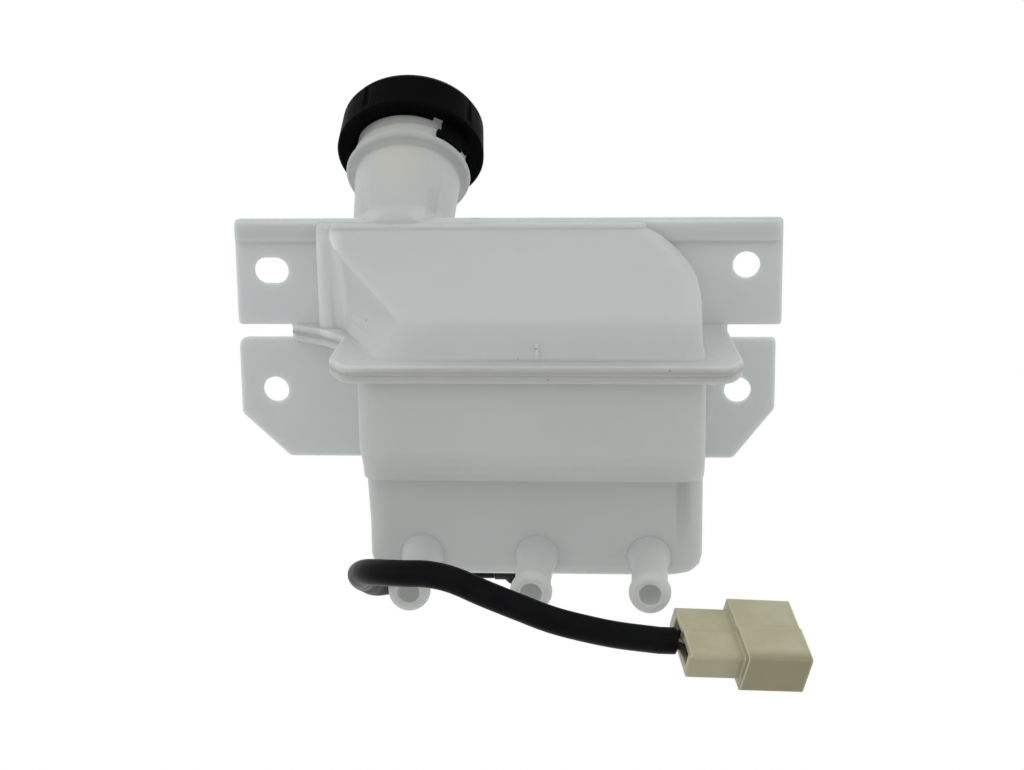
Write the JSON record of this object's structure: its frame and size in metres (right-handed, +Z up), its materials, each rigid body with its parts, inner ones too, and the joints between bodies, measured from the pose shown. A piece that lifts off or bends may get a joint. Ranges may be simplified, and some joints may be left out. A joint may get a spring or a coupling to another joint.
{
  "type": "brake fluid reservoir",
  "caption": "Wall-mounted brake fluid reservoir of two welded translucent halves with a leaning filler neck, black screw cap, hose nipples, float switch and a sleeved lead with a connector.",
  "frame": {"origin": "on the flat back of the mounting plate, midway between the two upper mounting holes", "axes": "+Z up as the reservoir is mounted, +X to the right seen from the front, -Y out of the plate towards the hose nipples, +Y into the panel that carries it"},
  "size_m": [0.1969, 0.1801, 0.184],
  "materials": {
    "tank_plastic": "translucent natural polypropylene, satin",
    "cap_plastic": "black, fine matt grain",
    "rubber": "black, matt",
    "white_plastic": "white, satin",
    "float_foam": "grey closed-cell foam, matt",
    "magnet": "dark grey bonded magnet, matt",
    "reed_glass": "clear greenish glass tube",
    "holder_plastic": "black, satin",
    "sleeve_plastic": "black, satin",
    "wire_plastic": "black, satin",
    "connector_plastic": "ivory, satin",
    "terminal_metal": "tinned, satin"
  },
  "bodies": {
    "tank": {"upper_tank": "tank_plastic", "lower_tank": "tank_plastic", "strainer": "white_plastic", "float_stop": "white_plastic", "reed_switch": "reed_glass", "reed_lead_a": "terminal_metal", "reed_lead_b": "terminal_metal", "switch_holder": "holder_plastic", "holder_ring": "rubber", "lead_sleeve": "sleeve_plastic", "wire_a": "wire_plastic", "wire_b": "wire_plastic", "connector_housing": "connector_plastic", "terminal_a": "terminal_metal", "terminal_b": "terminal_metal"},
    "cap_inner": {"cap_diaphragm": "rubber", "cap_disc": "white_plastic"},
    "cap": {"cap_shell": "cap_plastic"},
    "float": {"float_body": "float_foam", "float_magnet": "magnet"}
  },
  "joints": [
    {"name": "cap_lift", "type": "slide", "parent": "tank", "child": "cap_inner", "axis": [0, 0.7593, 0.6508], "range_m": [0, 0.0075]},
    {"name": "cap_turn", "type": "hinge", "parent": "cap_inner", "child": "cap", "pos_m": [-0.0384, 0.012, 0.013], "axis": [0, 0.7593, 0.6508], "range_deg": [0, 540]},
    {"name": "float_rise", "type": "slide", "parent": "tank", "child": "float", "axis": [0, 0, 1], "range_m": [0, 0.0275]}
  ],
  "couplings": [
    {"joint": "cap_lift", "follows": "cap_turn", "m_per_rad": 0.00079577}
  ]
}
